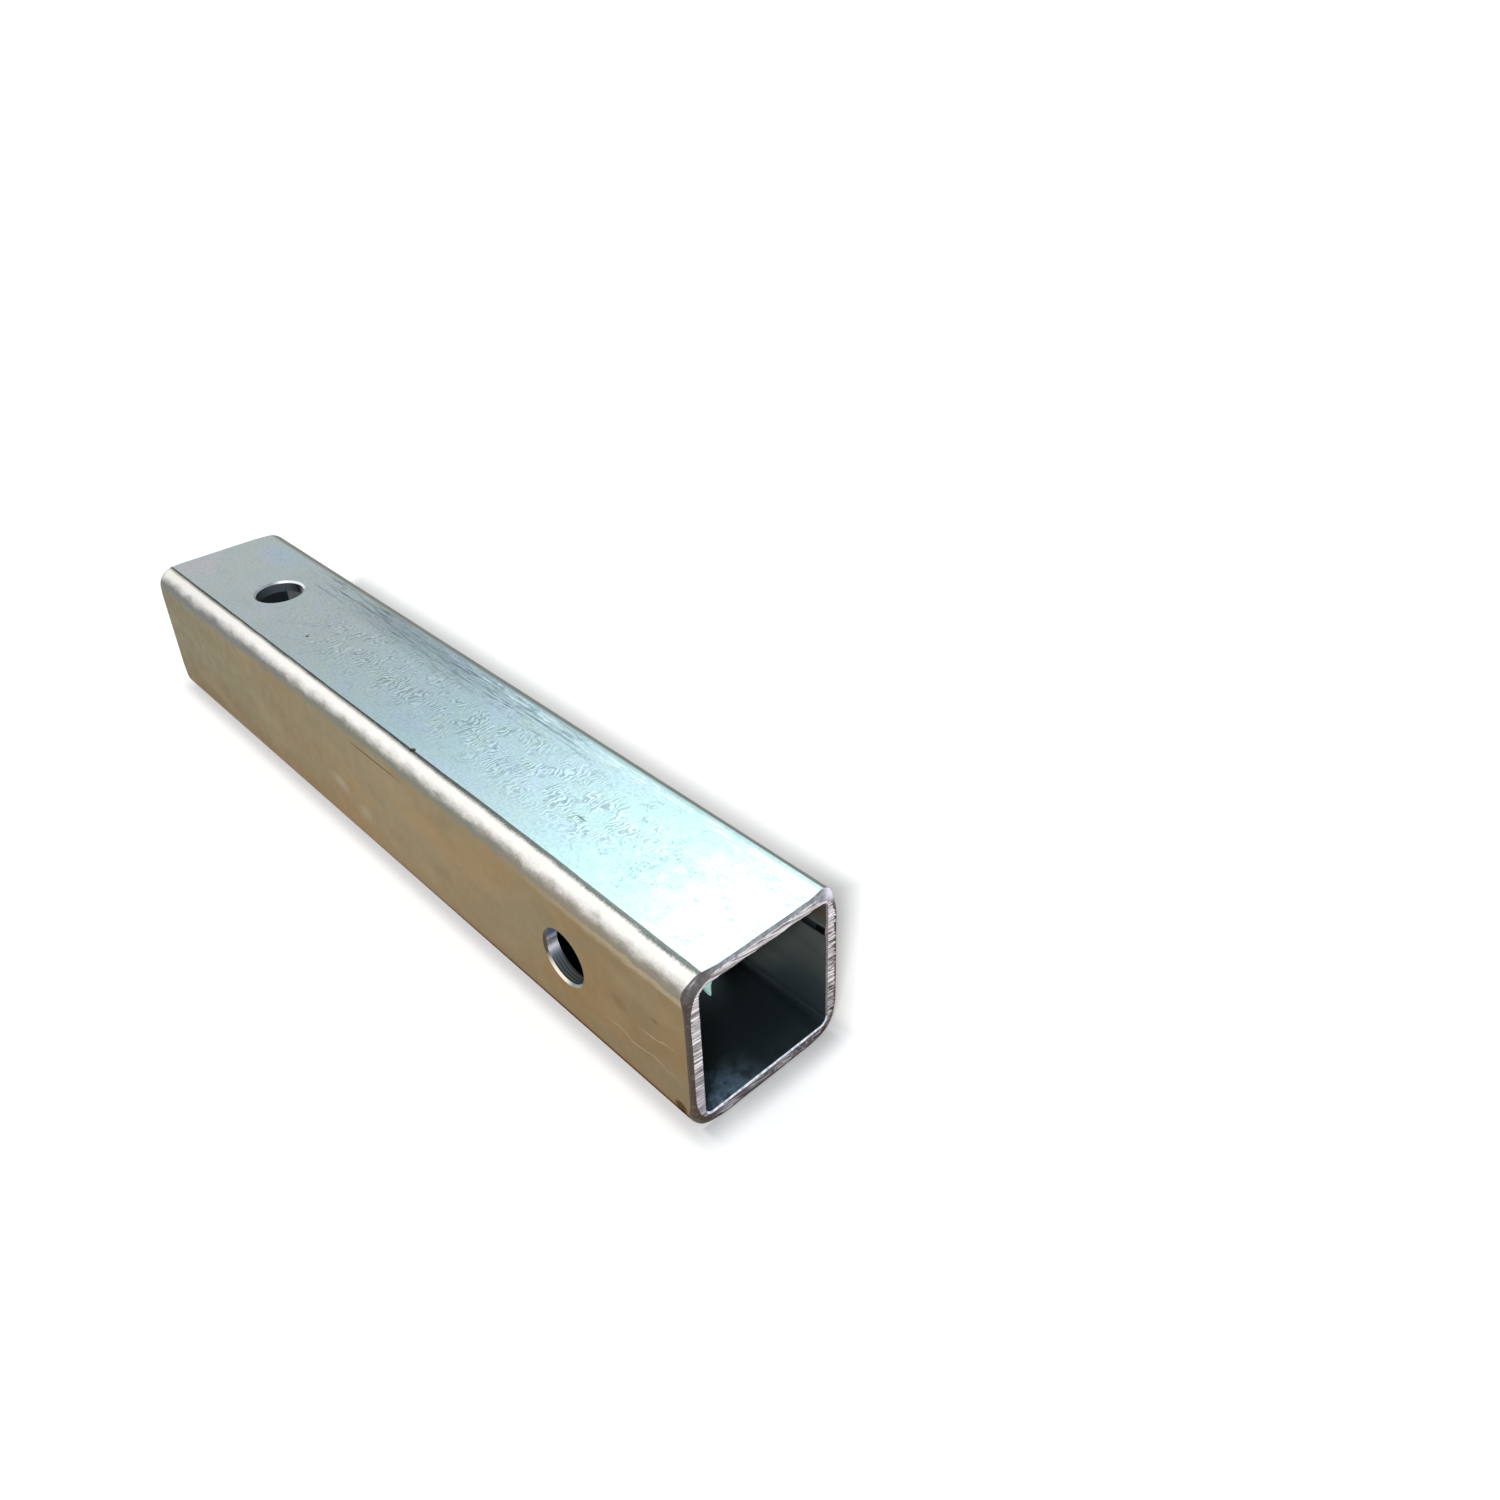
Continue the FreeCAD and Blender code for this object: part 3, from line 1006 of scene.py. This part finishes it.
FINISHES = {
    "outside": plated_outside,
    "sawn_face": sawn_face,
    "ground_edge": ground_edge,
    "inner_edge": inner_edge,
    "hole_rim": hole_rim,
    "bore_wall": bore_wall,
    "inside": inside_wall,
}


# The operators

class TUBE_OT_model_tube(bpy.types.Operator):
    """Model the tube with its sawn ends, pin holes and weld bead"""

    bl_idname = "receiver_tube.model_tube"
    bl_label = "Plated tube"

    def execute(self, context):
        sizes = context.scene.tube_sizes
        finish = context.scene.tube_finish
        piece = add_half(sizes)
        close_tube(piece)
        raise_seam(piece, sizes)
        grind_and_saw(piece, sizes)
        for bore in PIN_BORES:
            drill(piece, sizes, bore)
        for make in FINISHES.values():
            piece.data.materials.append(make(sizes, finish))
        names = list(FINISHES)
        for face in piece.data.polygons:
            face.material_index = names.index(finish_of(face, sizes))
        take(piece)
        bpy.ops.object.shade_smooth_by_angle(angle=math.radians(32))
        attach(piece, BODY)
        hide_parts(TUBE_NODE)
        return {"FINISHED"}


# The drop of plating salt: its radius, and how far it lies from the mouth's inner corner
DRIP_RADIUS = 1.5 * MM
DRIP_IN = 1.6 * MM
DRIP_ASIDE = 3.2 * MM
DRIP_DOWN = 0.6 * MM


class TUBE_OT_model_drip(bpy.types.Operator):
    """Model the drop of plating salt that hangs at the inner top corner"""

    bl_idname = "receiver_tube.model_drip"
    bl_label = "Plating drip"

    def execute(self, context):
        inner_half = WIDTH / 2 - context.scene.tube_sizes.wall
        start_clean()
        place = Vector((
            HALF_LENGTH - DRIP_IN, DRIP_ASIDE - inner_half, AXIS_HEIGHT + inner_half - DRIP_DOWN,
        ))
        bpy.ops.mesh.primitive_uv_sphere_add(
            segments=32, ring_count=20, radius=DRIP_RADIUS, location=place,
        )
        piece = named("plating_drip")
        bpy.ops.object.transform_apply(location=True)
        for vertex in piece.data.vertices:
            offset = vertex.co - place
            # Downwards it grows slimmer and longer, and leans inwards
            below = max(-offset.z / DRIP_RADIUS, 0.0)
            slim = 1.0 - 0.35 * below
            lump = 1.0 + 0.12 * noise.noise(vertex.co * 900.0)
            offset = Vector((offset.x * slim, offset.y * slim, offset.z * (1.0 + 2.4 * below)))
            offset.y += 1.2 * MM * below * below
            vertex.co = place + offset * lump
        take(piece)
        bpy.ops.object.shade_smooth()
        piece.data.materials.append(drip_finish(context.scene.tube_finish))
        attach(piece, BODY)
        return {"FINISHED"}


class TUBE_OT_lay_stage(bpy.types.Operator):
    """Lay the white floor, light it softly and set the camera"""

    bl_idname = "receiver_tube.lay_stage"
    bl_label = "Stage, lights and camera"

    def execute(self, context):
        studio = context.scene.studio_settings
        lay_floor()
        light_world(studio.surround)
        hang_lamps(studio)
        set_camera(studio)
        context.scene.view_settings.view_transform = "Standard"
        return {"FINISHED"}


# The stage

# The floor's size in metres, and how strongly it glows for the camera
FLOOR_SIZE = 120.0
GLOW = 0.52

# A painted shade on the floor, a dark spot seen through the top hole: place and half size in millimetres
PAINTED_SHADE_PLACE = (-196.6, 33.4, 0.0)
PAINTED_SHADE_SIZE = (13.0, 12.0, 8.0)

# Where the lamps hang, in metres, and what the soft box looks at
SUN_FROM = (0.473, -0.578, 0.665)
SOFT_BOX_PLACE = (-0.24, 0.45, 0.68)
SOFT_BOX_AIM = (0.13, 0.0, 0.05)
SOFT_BOX_SIZE = (0.5, 0.3)

# The camera's sensor in millimetres, and the frame's shift as a share of its width
SENSOR_WIDTH = 36.0
SHIFT = (-0.01176, -0.04348)


def shadow_outline():
    """The outline of the tube's shadow from the soft lamp on the floor, in millimetres."""
    sun = Vector(SUN_FROM)
    reach_x = sun.x / sun.z * WIDTH / MM
    reach_y = sun.y / sun.z * WIDTH / MM
    half_length = HALF_LENGTH / MM
    half_width = WIDTH / MM / 2
    base = [(-half_length, -half_width), (half_length, -half_width), (half_length, half_width)]
    top = [(half_length, half_width), (-half_length, half_width), (-half_length, -half_width)]
    return base + [(x - reach_x, y - reach_y) for x, y in top]


def beyond_outline(g, outline):
    """How far a point of the floor lies outside an outline that runs anticlockwise."""
    beyond = None
    for start, end in zip(outline, outline[1:] + outline[:1]):
        along = (Vector(end) - Vector(start)).normalized()
        outward = (along.y, -along.x, 0.0)
        made = g.node("VectorMath", {0: g.place, 1: outward}, operation="DOT_PRODUCT")
        far = g.less(made["Value"], outward[0] * start[0] + outward[1] * start[1])
        beyond = far if beyond is None else g.math("MAXIMUM", beyond, far)
    return beyond


def away_from_tube(g, x, y):
    """The share of its glow that the floor keeps: less close to the tube, least at its open ends, a painted
    shadow round the tube.
    """
    past_end = g.less(g.math("ABSOLUTE", x), (HALF_LENGTH - 1.0 * MM) / MM)
    past_side = g.less(g.math("ABSOLUTE", y), (WIDTH / 2 - 1.0 * MM) / MM)
    off_end = g.times(g.math("MAXIMUM", past_end, 0.0), 0.5)
    off_side = g.math("MAXIMUM", past_side, 0.0)
    away = g.length(g.node("CombineXYZ", {0: off_end, 1: off_side})[0])
    beside = g.times((past_end, 0.0, 1.0), (past_side, 0.0, -3.0))
    return g.ease(away, 0.0, 5.0, (beside, 0.0, 1.0, 0.5, 0.1), 1.0)


def in_shadow(g, x, y):
    """The share of its glow that the floor loses in the lamp's shadow and a little past its edge, for the
    camera: a painted shadow.
    """
    beyond = beyond_outline(g, shadow_outline())
    deepest = g.times((y, -25.0, 5.0), (x, 85.0, 125.0, 0.65, 0.95))
    camera_ray = g.node("LightPath", {})["Is Camera Ray"]
    return g.times(camera_ray, (beyond, 8.0, -5.0), deepest)


def lay_floor():
    """A white floor that glows for the camera, but less round the tube, where a painted shadow lies, and
    not in a painted dark spot.
    """
    start_clean()
    bpy.ops.mesh.primitive_plane_add(size=FLOOR_SIZE, location=(0.0, 0.0, 0.0))
    floor = named("floor")
    g = Graph("white_floor")
    x, y, _ = g.millimetres()
    # Painted shade: the dark spot takes the glow away and darkens the floor's colour
    dark = g.ease(g.spot(PAINTED_SHADE_PLACE, PAINTED_SHADE_SIZE), 0.05, 0.4)
    strength = g.times(g.seen(), GLOW, away_from_tube(g, x, y), g.less(1.0, dark))
    strength = g.times(strength, g.less(1.0, in_shadow(g, x, y)))
    shade = g.mix(dark, (0.80, 0.82, 0.83), (0.012, 0.016, 0.018))
    matt = g.node("BsdfDiffuse", {"Color": shade})[0]
    glow = g.node("Emission", {"Strength": strength})[0]
    floor.data.materials.append(g.show(g.node("AddShader", {0: matt, 1: glow})[0]))


def light_world(level):
    """A surround that lights the tube evenly, and shows as plain white."""
    g = Graph("studio", is_world=True)
    inputs = {"Value": g.seen(), "To Min": level, "To Max": 1.0}
    strength = g.node("MapRange", inputs)["Result"]
    inputs = {"Color": (1.0, 1.0, 1.0), "Strength": strength}
    bpy.context.scene.world = g.show(g.node("Background", inputs)[0])


def hang_lamp(kind, name, place, aim, **settings):
    """A lamp that looks at a point, with settings of its own."""
    start_clean()
    bpy.ops.object.light_add(type=kind, location=place)
    lamp = bpy.context.object
    lamp.name = name
    lamp.rotation_euler = (Vector(aim) - Vector(place)).to_track_quat("-Z", "Y").to_euler()
    for key, value in settings.items():
        setattr(lamp.data, key, value)


def hang_lamps(studio):
    """A soft lamp beside the camera, and a soft box that whitens the top near the open end."""
    hang_lamp("SUN", "soft_sun", SUN_FROM, (0.0, 0.0, 0.0), energy=studio.sun, angle=studio.sun_width)
    hang_lamp(
        "AREA", "near_top_soft_box", SOFT_BOX_PLACE, SOFT_BOX_AIM, energy=studio.soft_box,
        shape="RECTANGLE", size=SOFT_BOX_SIZE[0], size_y=SOFT_BOX_SIZE[1],
    )


def set_camera(studio):
    """The camera, where the photograph was taken from."""
    start_clean()
    bpy.ops.object.camera_add(location=(studio.camera_x, studio.camera_y, studio.camera_z))
    camera = bpy.context.object
    camera.name = "camera"
    level = Euler((math.radians(90) - studio.tilt, 0.0, studio.turn)).to_matrix()
    camera.rotation_euler = (level @ Matrix.Rotation(studio.roll, 3, "Z")).to_euler()
    camera.data.sensor_width = SENSOR_WIDTH
    camera.data.lens = studio.lens
    camera.data.shift_x, camera.data.shift_y = SHIFT
    camera.data.clip_start = 0.01
    bpy.context.scene.camera = camera


class TUBE_PT_panel(bpy.types.Panel):
    """The tube's pieces, one button each"""

    bl_label = "Receiver tube"
    bl_idname = "TUBE_PT_panel"
    bl_space_type = "VIEW_3D"
    bl_region_type = "UI"
    bl_category = "Receiver tube"

    def draw(self, context):
        for operator in OPERATORS:
            self.layout.operator(operator.bl_idname)


GROUPS = {
    "tube_sizes": TubeSizes,
    "tube_finish": TubeFinish,
    "studio_settings": StudioSettings,
}
OPERATORS = (TUBE_OT_model_tube, TUBE_OT_model_drip, TUBE_OT_lay_stage)


def register():
    for made in (*GROUPS.values(), *OPERATORS, TUBE_PT_panel):
        bpy.utils.register_class(made)
    for name, group in GROUPS.items():
        setattr(bpy.types.Scene, name, PointerProperty(type=group))


def unregister():
    for name in GROUPS:
        delattr(bpy.types.Scene, name)
    for made in (TUBE_PT_panel, *OPERATORS, *GROUPS.values()):
        bpy.utils.unregister_class(made)


def main():
    register()
    bpy.ops.receiver_tube.model_tube()
    bpy.ops.receiver_tube.model_drip()
    bpy.ops.receiver_tube.lay_stage()


if __name__ == "__main__":
    main()
